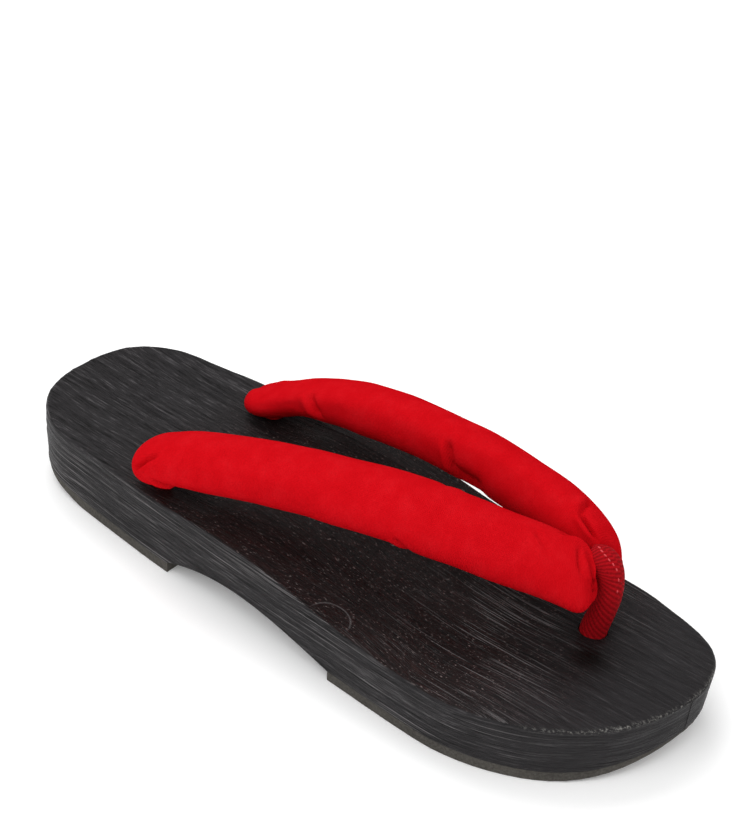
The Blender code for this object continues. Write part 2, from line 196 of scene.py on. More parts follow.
# Round ends: where the tip lies across, the share of LENGTH that the end takes, and its power.
HEEL_ROUND = (-0.040, 0.120, 2.3)
LATERAL_TOE_ROUND = (-0.318, 0.250, 2.0)
MEDIAL_TOE_ROUND = (-0.318, 0.100, 2.3)
FOOTBED = (
    # along, height, dip, lean, rim: shares of LENGTH, BOARD_HEIGHT, SEAT_DIP, SIDE_LEAN, EDGE_ROUND
    (0.00, 1.000, 0.3, 0.6, 1.15),
    (0.14, 0.965, 1.0, 0.6, 1.10),
    (0.28, 0.975, 0.8, 0.6, 0.80),
    (0.39, 1.040, 0.2, 0.7, 0.50),
    (0.49, 1.015, 0.2, 0.8, 0.45),
    (0.60, 0.890, 0.6, 1.0, 0.55),
    (0.72, 0.805, 0.8, 0.9, 0.60),
    (0.86, 0.805, 0.5, 0.9, 0.75),
    (1.00, 0.815, 0.1, 0.4, 0.95),
)


def read(table, at, column):
    """Smooth reading of one column of a table, with each row's slope taken from its neighbours."""
    last = len(table) - 1
    at = min(max(at, table[0][0]), table[last][0])
    low = max(i for i in range(last) if table[i][0] <= at)
    high = low + 1

    def slope(i):
        before, after = table[max(i - 1, 0)], table[min(i + 1, last)]
        return (after[column] - before[column]) / (after[0] - before[0])

    span = table[high][0] - table[low][0]
    t = (at - table[low][0]) / span
    return (
        (2 * t**3 - 3 * t**2 + 1) * table[low][column]
        + (t**3 - 2 * t**2 + t) * span * slope(low)
        + (3 * t**2 - 2 * t**3) * table[high][column]
        + (t**3 - t**2) * span * slope(high)
    )


def round_share(distance, run, power):
    """Half breadth of a round end, as a share, at a distance in from its tip."""
    short = 1.0 - min(max(distance, 0.0) / run, 1.0)
    return (1.0 - short**power) ** (1.0 / power)


def board_side(along, side):
    """Distance of the board's edge from the middle line, on the lateral (+1) or medial (-1) side."""
    along = min(max(along, TIP_FLAT_SHARE), 1.0 - TIP_FLAT_SHARE)
    edge = side * read(OUTLINE, along, 1 if side > 0 else 2)
    toe_round = LATERAL_TOE_ROUND if side > 0 else MEDIAL_TOE_ROUND
    for distance, (tip, run, power) in ((along, HEEL_ROUND), (1.0 - along, toe_round)):
        edge = tip + (edge - tip) * round_share(distance, run, power)
    return edge * WIDTH / 2


def board_rows(per_round, per_length):
    """Shares of the length at which the board has a row of points, closer together at its ends."""
    steps = [i / per_round for i in range(per_round + 1)]
    turns = [1 - math.cos(t * math.pi / 2) for t in steps]
    heel = [HEEL_ROUND[1] * turn for turn in turns]
    toe = [1 - LATERAL_TOE_ROUND[1] * turn for turn in reversed(turns)]
    stops = [heel[-1], HEEL_PAD_FRONT / LENGTH, FORE_PAD_BACK / LENGTH, toe[0]]
    middle = []
    for start, end in zip(stops, stops[1:]):
        parts = max(2, round((end - start) * per_length))
        middle += [start + (end - start) * i / parts for i in range(parts)]
    return heel[:-1] + middle + toe


def place(along, across, height):
    """A point from its share of the length, its share of half the width and its height."""
    return Vector((across * WIDTH / 2, (along - 0.5) * LENGTH, height))


def footbed(along, across=1.0):
    """Height of the board's upper face. across runs from -1 to 1 between the two edges."""
    dip = SEAT_DIP * read(FOOTBED, along, 2) * (1.0 - across**2)
    return BOARD_HEIGHT * read(FOOTBED, along, 1) - dip


def heel_lift(along):
    """How much of the heel's bevel is reached: 0 on the flat tread, 1 at the back."""
    return 1.0 - min(along * LENGTH / HEEL_BEVEL_LENGTH, 1.0) ** HEEL_BEVEL_POWER


def toe_lift(along):
    """How much of the toe spring is reached: 0 on the flat tread, 1 at the tip."""
    run = 1.0 - (1.0 - along) * LENGTH / TOE_SPRING_LENGTH
    return max(run, 0.0) ** TOE_SPRING_POWER


def tread(along):
    """Height of the pads' lower face."""
    return HEEL_BEVEL_RISE * heel_lift(along) + TOE_SPRING * toe_lift(along)


def underside(along):
    """Height of the board's lower face: over the pads, and arched between them."""
    start, end = HEEL_PAD_FRONT / LENGTH, FORE_PAD_BACK / LENGTH
    if start < along < end:
        arch = math.sin(math.pi * ((along - start) / (end - start)) ** ARCH_SKEW)
        return PAD_THICKNESS + (ARCH_HEIGHT - PAD_THICKNESS) * arch
    lift = max(heel_lift(along), toe_lift(along))
    return tread(along) + PAD_THICKNESS - (PAD_THICKNESS - PAD_EDGE_THICKNESS) * lift


def lean(along, height):
    """How far the board's side has leaned in at a height."""
    drop = max(footbed(along) - EDGE_ROUND - height, 0.0) / BOARD_HEIGHT
    return SIDE_LEAN * read(FOOTBED, along, 3) * drop


outline_points = kdtree.KDTree(2 * OUTLINE_STEPS + 2 * TIP_STEPS)
for step in range(OUTLINE_STEPS):
    share = (1 - math.cos(math.pi * (step + 0.5) / OUTLINE_STEPS)) / 2
    for side in (1, -1):
        spot = (board_side(share, side), (share - 0.5) * LENGTH, 0.0)
        outline_points.insert(spot, 2 * step + (side > 0))
for step in range(TIP_STEPS):
    for tip in (0.0, 1.0):
        medial, lateral = board_side(tip, -1), board_side(tip, 1)
        spot = (medial + (lateral - medial) * step / TIP_STEPS, (tip - 0.5) * LENGTH, 0.0)
        outline_points.insert(spot, 2 * OUTLINE_STEPS + 2 * step + int(tip))
outline_points.balance()


def rolled_rim(along, spot):
    """How far the upper face has rolled down towards the side wall, at a point seen from above."""
    radius = EDGE_ROUND * read(FOOTBED, along, 4)
    inward = outline_points.find((spot[0], spot[1], 0.0))[2]
    return radius - math.sqrt(max(radius**2 - max(radius - inward, 0.0) ** 2, 0.0))


def slab(rows, columns, levels, top, bottom, inset, rounded):
    """A mesh with the board's outline between two faces: a shaped grid and its extrusion."""
    bm = bmesh.new()
    bmesh.ops.create_grid(bm, x_segments=columns, y_segments=len(rows) - 1, size=1.0)
    across = bm.verts.layers.float.new("across")
    along = bm.verts.layers.float.new("along")
    for vert in bm.verts:
        crowded = 1.0 - (1.0 - min(abs(vert.co.x), 1.0)) ** EDGE_CROWDING
        vert[across] = math.copysign(crowded, vert.co.x)
        vert[along] = rows[round((vert.co.y + 1) / 2 * (len(rows) - 1))]
    upper = list(bm.verts)
    rim = {vert for vert in upper if vert.is_boundary}
    made = bmesh.ops.extrude_face_region(bm, geom=list(bm.faces), use_keep_orig=True)
    lower = [item for item in made["geom"] if isinstance(item, bmesh.types.BMVert)]
    for verts, face in ((upper, top), (lower, bottom)):
        for vert in verts:
            height = face(vert[along], vert[across])
            lateral, medial = board_side(vert[along], 1), board_side(vert[along], -1)
            side = lean(vert[along], height) + inset
            breadth = max(lateral - medial - 2 * side, 0.0)
            middle = (lateral + medial) / 2
            end_pull = side * (1.0 - 2.0 * vert[along]) ** TIP_LEAN_POWER
            forward = (vert[along] - 0.5) * LENGTH + end_pull
            spot = (middle + vert[across] * breadth / 2, forward)
            if rounded and verts is upper:
                if vert in rim:
                    height -= EDGE_ROUND * read(FOOTBED, vert[along], 4)
                else:
                    height -= rolled_rim(vert[along], spot)
            vert.co = (*spot, height)
    lower = set(lower)
    walls = [e for e in bm.edges if (e.verts[0] in rim) != (e.verts[1] in rim)]
    walls = [e for e in walls if e.verts[0] in lower or e.verts[1] in lower]
    if levels > 1:
        bmesh.ops.subdivide_edges(bm, edges=walls, cuts=levels - 1, use_grid_fill=True)
    bmesh.ops.remove_doubles(bm, verts=bm.verts, dist=WELD)
    bmesh.ops.recalc_face_normals(bm, faces=bm.faces)
    return bm


def new_piece(name, bm):
    """Turn a bmesh into a smooth-shaded object of the scene."""
    mesh = bpy.data.meshes.new(name)
    bm.to_mesh(mesh)
    bm.free()
    mesh.shade_smooth()
    piece = bpy.data.objects.new(name, mesh)
    bpy.context.scene.collection.objects.link(piece)
    return piece


def finish_mesh(piece):
    """Put what the modifiers make into the mesh itself."""
    graph = bpy.context.evaluated_depsgraph_get()
    made = bpy.data.meshes.new_from_object(piece.evaluated_get(graph))
    piece.modifiers.clear()
    old = piece.data
    piece.data = made
    bpy.data.meshes.remove(old)
    made.name = piece.name


# The strap's own holes through the board follow the strap's tables, so these stand here.
STRAP_WIDTH = 0.265 * WIDTH
STRAP_THICKNESS = 0.0180
STRAP_HEIGHT = 0.0530
TAIL_RADIUS = 0.0033
TAIL_SETBACK = 0.0090
TAIL_DRILL_CLEARANCE = 0.0008
TAIL_KNOT_RADIUS = 0.066 * WIDTH
TAIL_KNOT_HEIGHT = 0.0080
THONG_WIDTH = 0.0094
THONG_THICKNESS = 0.0088
THONG_DRILL_CLEARANCE = 0.0003
THONG_KNOT_RADIUS = 0.0074
THONG_KNOT_HEIGHT = 0.0080
COUNTERBORE_CLEARANCE = 0.0005
DRILL_SIDES = 64
LATERAL_ARM = (
    # along, across, height, tilt, width, thick, rake
    (0.233, 0.610, 0.585, 5, 0.98, 0.86, 0),
    (0.270, 0.632, 0.670, 5, 1.00, 0.94, 0),
    (0.318, 0.650, 0.790, 6, 1.00, 1.00, 0),
    (0.384, 0.584, 0.870, 10, 1.00, 1.00, 0),
    (0.453, 0.481, 0.922, 14, 1.00, 1.00, 0),
    (0.527, 0.387, 0.958, 18, 1.03, 1.02, 0),
    (0.596, 0.287, 0.978, 22, 1.05, 1.04, 0),
    (0.665, 0.184, 0.967, 25, 1.04, 1.04, 0),
    (0.712, 0.100, 0.947, 28, 1.02, 1.04, 4),
    (0.759, 0.014, 0.930, 34, 1.00, 1.02, 12),
    (0.792, -0.032, 0.922, 42, 0.98, 1.00, 21),
    (0.820, -0.068, 0.910, 50, 0.96, 0.88, 29),
    (0.846, -0.096, 0.890, 58, 0.94, 0.74, 35),
)
MEDIAL_ARM = (
    # along, across, height, tilt, width, thick, rake
    (0.227, -0.585, 0.540, 5, 0.98, 0.64, 0),
    (0.270, -0.625, 0.610, 6, 1.00, 0.66, 0),
    (0.318, -0.645, 0.735, 8, 1.00, 0.66, 0),
    (0.365, -0.648, 0.820, 10, 1.00, 0.82, 0),
    (0.408, -0.648, 0.872, 12, 1.00, 0.94, 0),
    (0.502, -0.630, 0.945, 20, 1.00, 1.00, 0),
    (0.571, -0.608, 0.978, 28, 1.01, 1.03, 0),
    (0.641, -0.588, 0.982, 36, 1.02, 1.06, 0),
    (0.712, -0.542, 0.970, 42, 1.02, 1.08, 0),
    (0.759, -0.497, 0.956, 46, 1.02, 1.06, 6),
    (0.790, -0.460, 0.946, 52, 0.98, 1.00, 14),
    (0.815, -0.425, 0.924, 58, 0.92, 0.86, 22),
    (0.840, -0.395, 0.892, 63, 0.84, 0.70, 30),
)
THONG = (
    # along, across, height, thick, wide
    (0.8360, -0.357, 0.180, 1.00, 0.94),
    (0.8362, -0.357, 0.400, 1.00, 0.94),
    (0.8430, -0.346, 0.560, 0.96, 0.96),
    (0.8485, -0.326, 0.720, 0.98, 0.98),
    (0.8475, -0.306, 0.860, 1.00, 1.00),
    (0.8410, -0.288, 0.940, 1.00, 1.02),
    (0.8310, -0.275, 0.977, 0.80, 0.94),
    (0.8190, -0.264, 0.987, 0.52, 0.60),
)


def tail_spot(table):
    """Where a tail of the strap goes down through the board, as a point at floor height."""
    along = table[0][0] + TAIL_SETBACK / LENGTH
    return place(along, read(table, along, 1), 0.0)


def counterbore_ceiling(spot, knot_height):
    """Height of the roof of a counterbore that just hides its knot above the pad's lower face."""
    return underside(spot.y / LENGTH + 0.5) + knot_height + COUNTERBORE_CLEARANCE


STRAP_HOLES = (
    (tail_spot(LATERAL_ARM), TAIL_RADIUS + TAIL_DRILL_CLEARANCE, TAIL_KNOT_RADIUS, TAIL_KNOT_HEIGHT),
    (tail_spot(MEDIAL_ARM), TAIL_RADIUS + TAIL_DRILL_CLEARANCE, TAIL_KNOT_RADIUS, TAIL_KNOT_HEIGHT),
    (
        place(THONG[0][0], THONG[0][1], 0.0),
        THONG[0][4] * THONG_WIDTH / 2 + THONG_DRILL_CLEARANCE,
        THONG_KNOT_RADIUS,
        THONG_KNOT_HEIGHT,
    ),
)
drills = bmesh.new()
for spot, drill_radius, knot_radius, knot_height in STRAP_HOLES:
    bore_radius = knot_radius + COUNTERBORE_CLEARANCE
    ceiling = counterbore_ceiling(spot, knot_height)
    profile = [
        (0.0, -BOARD_HEIGHT),
        (bore_radius, -BOARD_HEIGHT),
        (bore_radius, ceiling),
        (drill_radius, ceiling),
        (drill_radius, 2 * BOARD_HEIGHT),
        (0.0, 2 * BOARD_HEIGHT),
    ]
    verts = [drills.verts.new((spot.x + r, spot.y, z)) for r, z in profile]
    edges = [drills.edges.new(pair) for pair in zip(verts, verts[1:])]
    bmesh.ops.spin(
        drills, geom=verts + edges, cent=spot, axis=(0, 0, 1), angle=2 * math.pi,
        steps=DRILL_SIDES, use_merge=True, use_duplicate=False,
    )
bmesh.ops.remove_doubles(drills, verts=drills.verts, dist=WELD)
bmesh.ops.recalc_face_normals(drills, faces=drills.faces)
drilling = new_piece("drilling", drills)
drilling.hide_render = True


def drill(piece):
    """Cut the strap's holes and the knots' counterbores, and put them into the mesh."""
    cut = piece.modifiers.new("strap_holes", "BOOLEAN")
    cut.operation = "DIFFERENCE"
    cut.object = drilling
    cut.solver = "EXACT"
    finish_mesh(piece)


# Relief of the brushed grain. Fibres run lengthwise, and the year's layers lie flat,
# so that they draw level lines on every wall.
FIBRE_PITCH = (0.0021, 0.034, 0.0036)
FIBRE_DEPTH = 0.00022
FIBRE_MEAN = 0.3
LAYER_PITCH = (0.030, 0.050, 0.0019)
LAYER_DEPTH = 0.00020
WANDER_PITCH = (0.020, 0.060, 0.020)
WANDER = 0.0022
FIBRE_RISE = 0.3
LAYER_RISE = 0.4
SWELL_PITCH = (0.012, 0.022, 0.012)
SWELL_DEPTH = 0.00030
TIP_FADE = 0.015
BRANCH_KNOT = Vector((0.0385, 0.0270, 0.0220))
BRANCH_REACH = (0.010, 0.020)
BRANCH_PUSH = 0.0060


def stretched(point, pitch):
    """A point in units of a pattern's pitch."""
    return Vector((point.x / pitch[0], point.y / pitch[1], point.z / pitch[2]))


def branch_push(point):
    """How far the fibres are pushed aside by the branch knot at the forefoot's edge."""
    away = point - BRANCH_KNOT
    near = math.exp(-((away.x / BRANCH_REACH[0]) ** 2) - (away.y / BRANCH_REACH[1]) ** 2)
    return BRANCH_PUSH * near


def grain_relief(point):
    """Height of the brushed grain over the carved surface."""
    wander = WANDER * noise.noise(stretched(point, WANDER_PITCH))
    moved = point + Vector((wander + branch_push(point), 0, FIBRE_RISE * wander))
    along = point.y / LENGTH + 0.5
    fade = min(1.0, max(0.0, min(along, 1.0 - along) / TIP_FADE))
    fibre = noise.noise(stretched(moved, FIBRE_PITCH))
    layer = noise.noise(stretched(point + Vector((0, 0, LAYER_RISE * wander)), LAYER_PITCH))
    swell = noise.noise(stretched(point, SWELL_PITCH))
    relief = FIBRE_DEPTH * (abs(fibre) - FIBRE_MEAN) + LAYER_DEPTH * layer + SWELL_DEPTH * swell
    return fade * relief


rows = board_rows(BOARD_ROWS_PER_ROUND, BOARD_ROWS_PER_LENGTH)
board = new_piece(
    "board",
    slab(rows, BOARD_COLUMNS, BOARD_LEVELS, footbed, lambda along, across: underside(along), 0, True),
)
drill(board)

# Wear whitens the rim of the toe and, less, the lower edges of the walls.
WEAR_REACH = 0.0008
RIM_WEAR_DROP = 0.4
RIM_WEAR_FROM = (0.86, 0.93)
RIM_WEAR_LATERAL_OF = -0.3 * WIDTH
FOOT_WEAR = 0.20
LOWER_FACE_REACH = 0.0005
BOARD_SHARP_ANGLE = math.radians(50)
bm = bmesh.new()
bm.from_mesh(board.data)
bm.normal_update()
worn = bm.verts.layers.float.new("worn")
shifts = []
for vert in bm.verts:
    along = min(max(vert.co.y / LENGTH + 0.5, 0.0), 1.0)
    top = footbed(along)
    from_rim = outline_points.find((vert.co.x, vert.co.y, 0.0))[2]
    from_top = abs(vert.co.z - (top - RIM_WEAR_DROP * EDGE_ROUND * read(FOOTBED, along, 4)))
    from_bottom = abs(vert.co.z - underside(along))
    wall = 1.0 - min(abs(vert.normal.z), 1.0)
    rim_wear = math.exp(-((from_rim / WEAR_REACH) ** 2) - (from_top / WEAR_REACH) ** 2)
    foot_wear = math.exp(-((from_bottom / WEAR_REACH) ** 2)) * wall
    at_toe = (along - RIM_WEAR_FROM[0]) / (RIM_WEAR_FROM[1] - RIM_WEAR_FROM[0])
    at_toe = min(max(at_toe, 0.0), 1.0) * (vert.co.x > RIM_WEAR_LATERAL_OF)
    vert[worn] = rim_wear * at_toe + FOOT_WEAR * foot_wear
    lower_face = vert.normal.z < -0.7 and from_bottom < LOWER_FACE_REACH
    shifts.append(0.0 if lower_face else grain_relief(vert.co))
for vert, shift in zip(bm.verts, shifts):
    vert.co += vert.normal * shift
bm.to_mesh(board.data)
bm.free()
board.data.shade_smooth()
board.data.set_sharp_from_angle(angle=BOARD_SHARP_ANGLE)

WOOD_GREY = (0.0180, 0.0163, 0.0175, 1.0)
WOOD_DARK = (0.0022, 0.0019, 0.0019, 1.0)
# Partly the grain's own pale and partly painted highlight: the palest grain is made paler so that the
# raised fibres seem to glint.
WOOD_PALE_AND_GLINT = (0.0750, 0.0700, 0.0730, 1.0)
WOOD_BROWN = (0.0085, 0.0026, 0.0024, 1.0)
WOOD_BROWN_PALE = (0.0220, 0.0080, 0.0068, 1.0)
# Painted highlight: pale for the thin glints along the raised grain's lines. The real scratch on the
# footbed is drawn in the same pale.
GLINT_AND_SCRATCH_PALE = (0.1300, 0.1220, 0.1240, 1.0)
# Painted highlight: pale for tiny glints on the glossy brown middle of the footbed.
GLINT_SPECK_PALE = (0.1600, 0.1300, 0.1250, 1.0)
# Painted shade: near-black for the dark round the thong's hole, where the strap and the hole shade the
# board.
THONG_HOLE_SHADE_COLOUR = (0.0020, 0.0012, 0.0010, 1.0)
WORN_WOOD = (0.3000, 0.2900, 0.2700, 1.0)
WOOD_GLOSS = 0.13
WOOD_BUMP = 0.00075
SCRATCH_CENTRE = (0.0425, 0.0230, 0.0)
SCRATCH_RADIUS = 0.0070
SCRATCH_ENDS = (0.0395, 0.0410)
# Painted shade: dark spots at the thong's hole and just in front of it.
THONG_HOLE_SHADE_SPOTS = (
    # centre, reach
    ((-0.0040, 0.0890, 0.0220), (0.0080, 0.0095, 0.0120)),
    ((-0.0163, 0.0824, 0.0220), (0.0085, 0.0080, 0.0120)),
)
BRANCH_SWIRL_REACH = (0.016, 0.030, 0.030)
GRAIN_WANDER = 0.004
# The grain's patterns, in waves per metre across, along and up. On the footbed the grain runs
# lengthwise, and on the walls it runs level round the block.
FOOTBED_FIBRES = (1150, 30, 700)
WALL_FIBRES = (45, 30, 1100)
FOOTBED_FINE_FIBRES = (2300, 200, 900)
WALL_FINE_FIBRES = (220, 180, 2400)
# The lines are where the painted glints of the raised grain lie.
FOOTBED_LINES = (2600, 40, 500)
WALL_LINES = (34, 26, 2200)
WANDER_WAVES = (45, 14, 45)
BREAK_WAVES = (130, 32, 130)
LAYER_WAVES = (60, 34, 900)
WORN_SPECKS = (1500, 500, 1500)
# Pattern of the painted glint specks.
GLINT_SPECK_WAVES = (2400, 900, 2400)
PATCHES = (40, 30, 40)
# Places along the sandal, from its middle: the brown and glossy part under the strap, where the
# painted glints on the grain's lines start, and where the grain grows calm towards the toe.
BROWN_MIDDLE = 0.026
BROWN_REACH = (0.054, 0.088)
BROWN_RAGGED = 0.03
GLINTS_FROM = (0.026, 0.052)
CALM_FROM = (0.066, 0.104)


def scaled(tree, source, scale):
    """Coordinates stretched by a scale."""
    mapping = node(tree, "ShaderNodeMapping")
    mapping.inputs["Scale"].default_value = scale
    tree.links.new(source, mapping.inputs["Vector"])
    return mapping.outputs["Vector"]


def noisy(tree, source, scale, detail, roughness):
    """Noise on coordinates that are stretched by a scale."""
    pattern = node(tree, "ShaderNodeTexNoise")
    pattern.inputs["Scale"].default_value = 1.0
    pattern.inputs["Detail"].default_value = detail
    pattern.inputs["Roughness"].default_value = roughness
    tree.links.new(scaled(tree, source, scale), pattern.inputs["Vector"])
    return pattern.outputs["Fac"]


def ramp(tree, source, stops):
    """Colours over the run of a value."""
    made = node(tree, "ShaderNodeValToRGB")
    elements = made.color_ramp.elements
    while len(elements) < len(stops):
        elements.new(0.5)
    for element, (position, colour) in zip(elements, stops):
        element.position = position
        element.color = colour
    tree.links.new(source, made.inputs["Fac"])
    return made.outputs["Color"]


def grey(value):
    """A grey with full cover."""
    return (value, value, value, 1.0)


def calculated(tree, operation, first, second):
    """The outcome of one step of arithmetic on two values, each a socket or a number."""
    made = node(tree, "ShaderNodeMath", operation=operation)
    for socket, value in zip(made.inputs, (first, second)):
        if isinstance(value, (int, float)):
            socket.default_value = value
        else:
            tree.links.new(value, socket)
    return made.outputs["Value"]


def added(tree, base, extra, share):
    """A value with a share of another one added."""
    return calculated(tree, "ADD", base, calculated(tree, "MULTIPLY", extra, share))


def mixed(tree, share, first, second):
    """One colour over another by a share. Each is a socket or a colour."""
    made = node(tree, "ShaderNodeMix", data_type="RGBA")
    sockets = (made.inputs[0], made.inputs[6], made.inputs[7])
    for socket, value in zip(sockets, (share, first, second)):
        if isinstance(value, (int, float, tuple)):
            socket.default_value = value
        else:
            tree.links.new(value, socket)
    return made.outputs[2]


def bumped(tree, height, distance):
    """A normal from a pattern that stands as high as a distance."""
    made = node(tree, "ShaderNodeBump")
    made.inputs["Distance"].default_value = distance
    tree.links.new(height, made.inputs["Height"])
    return made.outputs["Normal"]


def closeness(tree, source, centre, reach):
    """1 at a centre, falling to 0 at a reach from it that differs in the three directions."""
    away = node(tree, "ShaderNodeVectorMath", operation="SUBTRACT")
    away.inputs[1].default_value = centre
    tree.links.new(source, away.inputs[0])
    share = node(tree, "ShaderNodeVectorMath", operation="DIVIDE")
    share.inputs[1].default_value = reach
    tree.links.new(away.outputs["Vector"], share.inputs[0])
    length = node(tree, "ShaderNodeVectorMath", operation="LENGTH")
    tree.links.new(share.outputs["Vector"], length.inputs[0])
    return ramp(tree, length.outputs["Value"], ((0.25, grey(1.0)), (1.0, grey(0.0))))


black_wood, tree, shader = new_material("black_stained_wood")
coordinates = node(tree, "ShaderNodeTexCoord").outputs["Object"]
wander = noisy(tree, coordinates, WANDER_WAVES, 2.0, 0.5)
by_branch = closeness(tree, coordinates, tuple(BRANCH_KNOT), BRANCH_SWIRL_REACH)
aside = calculated(tree, "MULTIPLY", calculated(tree, "ADD", wander, by_branch), GRAIN_WANDER)
wander_vector = node(tree, "ShaderNodeCombineXYZ")
tree.links.new(aside, wander_vector.inputs["X"])
moved = node(tree, "ShaderNodeVectorMath", operation="ADD")
tree.links.new(coordinates, moved.inputs[0])
tree.links.new(wander_vector.outputs["Vector"], moved.inputs[1])
fibre_space = moved.outputs["Vector"]
face_normal = node(tree, "ShaderNodeNewGeometry").outputs["Normal"]
upward = node(tree, "ShaderNodeSeparateXYZ")
tree.links.new(face_normal, upward.inputs["Vector"])
facing_up = ramp(tree, upward.outputs["Z"], ((0.62, grey(0.0)), (0.82, grey(1.0))))
fibres = mixed(
    tree,
    facing_up,
    noisy(tree, fibre_space, WALL_FIBRES, 4.0, 0.6),
    noisy(tree, fibre_space, FOOTBED_FIBRES, 4.0, 0.6),
)
fine_fibres = mixed(
    tree,
    facing_up,
    noisy(tree, fibre_space, WALL_FINE_FIBRES, 2.0, 0.6),
    noisy(tree, fibre_space, FOOTBED_FINE_FIBRES, 2.0, 0.6),
)
lines = mixed(
    tree,
    facing_up,
    noisy(tree, fibre_space, WALL_LINES, 1.0, 0.5),
    noisy(tree, fibre_space, FOOTBED_LINES, 1.0, 0.5),
)
broken = noisy(tree, fibre_space, BREAK_WAVES, 3.0, 0.6)
unbroken = ramp(tree, broken, ((0.40, grey(0.0)), (0.56, grey(1.0))))
# Painted highlight: thin glint lines of the raised grain, broken into short runs.
glint_lines = ramp(tree, lines, ((0.57, grey(0.0)), (0.63, grey(1.0))))
glint_lines = calculated(tree, "MULTIPLY", glint_lines, unbroken)
grain = added(tree, calculated(tree, "MULTIPLY", fibres, 0.5), fine_fibres, 0.5)
layers = noisy(tree, coordinates, LAYER_WAVES, 4.0, 0.6)
specks = noisy(tree, coordinates, WORN_SPECKS, 2.0, 0.7)
glint_specks = noisy(tree, coordinates, GLINT_SPECK_WAVES, 1.0, 0.5)

separate = node(tree, "ShaderNodeSeparateXYZ")
tree.links.new(coordinates, separate.inputs["Vector"])
patchy = noisy(tree, coordinates, PATCHES, 3.0, 0.6)
middle_run = added(tree, separate.outputs["Y"], patchy, BROWN_RAGGED)
from_middle = calculated(tree, "SUBTRACT", middle_run, BROWN_MIDDLE)
from_middle = calculated(tree, "ABSOLUTE", from_middle, 0.0)
glossy = ramp(tree, from_middle, ((BROWN_REACH[0], grey(1.0)), (BROWN_REACH[1], grey(0.0))))

# The grain's tone. Its palest end is partly painted highlight.
grey_wood = ramp(
    tree, grain, ((0.38, WOOD_DARK), (0.49, WOOD_GREY), (0.55, WOOD_GREY), (0.66, WOOD_PALE_AND_GLINT))
)
calm = ramp(tree, separate.outputs["Y"], ((CALM_FROM[0], grey(0.0)), (CALM_FROM[1], grey(0.62))))
grey_wood = mixed(tree, calm, grey_wood, WOOD_GREY)
brown_wood = ramp(tree, grain, ((0.38, WOOD_DARK), (0.54, WOOD_BROWN), (0.68, WOOD_BROWN_PALE)))
on_footbed = calculated(tree, "MULTIPLY", glossy, facing_up)
wood_colour = mixed(tree, on_footbed, grey_wood, brown_wood)
forward = ramp(
    tree, separate.outputs["Y"], ((GLINTS_FROM[0], grey(0.08)), (GLINTS_FROM[1], grey(1.0)))
)
on_walls = calculated(tree, "SUBTRACT", 1.0, facing_up)
painted_glints = calculated(tree, "MULTIPLY", glint_lines, calculated(tree, "MAXIMUM", forward, on_walls))
before_toe = ramp(
    tree, separate.outputs["Y"], ((CALM_FROM[0], grey(1.0)), (CALM_FROM[1], grey(0.15)))
)
painted_glints = calculated(tree, "MULTIPLY", painted_glints, before_toe)
# Painted highlight: the grain's glints are mixed into the colour, before the strap and on the walls,
# and fade at the toe.
wood_colour = mixed(tree, painted_glints, wood_colour, GLINT_AND_SCRATCH_PALE)
# Painted highlight: glint specks strewn over the glossy brown middle of the footbed.
painted_speck_glints = ramp(tree, glint_specks, ((0.66, grey(0.0)), (0.74, grey(1.0))))
painted_speck_glints = calculated(tree, "MULTIPLY", painted_speck_glints, on_footbed)
wood_colour = mixed(tree, painted_speck_glints, wood_colour, GLINT_SPECK_PALE)
# Painted shade round the thong's hole.
for centre, reach in THONG_HOLE_SHADE_SPOTS:
    wood_colour = mixed(tree, closeness(tree, coordinates, centre, reach), wood_colour, THONG_HOLE_SHADE_COLOUR)
from_scratch = node(tree, "ShaderNodeVectorMath", operation="DISTANCE")
from_scratch.inputs[1].default_value = SCRATCH_CENTRE
tree.links.new(scaled(tree, coordinates, (1, 1, 0)), from_scratch.inputs[0])
from_arc = calculated(tree, "SUBTRACT", from_scratch.outputs["Value"], SCRATCH_RADIUS)
from_arc = calculated(tree, "ABSOLUTE", from_arc, 0.0)
from_arc_mm = calculated(tree, "MULTIPLY", from_arc, 1000.0)
scratched = ramp(tree, from_arc_mm, ((0.12, grey(0.45)), (0.40, grey(0.0))))
inner = ramp(
    tree, separate.outputs["X"], ((SCRATCH_ENDS[0], grey(1.0)), (SCRATCH_ENDS[1], grey(0.0)))
)
scratched = calculated(tree, "MULTIPLY", scratched, inner)
scratched = calculated(tree, "MULTIPLY", scratched, facing_up)
wood_colour = mixed(tree, scratched, wood_colour, GLINT_AND_SCRATCH_PALE)
wear = node(tree, "ShaderNodeAttribute", attribute_name="worn").outputs["Fac"]
speckled = ramp(tree, specks, ((0.50, grey(0.0)), (0.66, grey(0.70))))
wear = calculated(tree, "MULTIPLY", wear, speckled)
tree.links.new(mixed(tree, wear, wood_colour, WORN_WOOD), shader.inputs["Base Color"])
matt = ramp(tree, fibres, ((0.35, grey(0.60)), (0.70, grey(0.42))))
shiny = ramp(tree, fibres, ((0.35, grey(0.42)), (0.70, grey(0.28))))
tree.links.new(mixed(tree, on_footbed, matt, shiny), shader.inputs["Roughness"])
shader.inputs["Specular IOR Level"].default_value = WOOD_GLOSS
relief = added(tree, fibres, layers, 0.7)
relief = added(tree, relief, glint_lines, 0.8)
relief = added(tree, relief, fine_fibres, 0.45)
tree.links.new(bumped(tree, relief, WOOD_BUMP), shader.inputs["Normal"])

board.data.materials.clear()
board.data.materials.append(black_wood)
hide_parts("wood_base")
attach(board, "root")


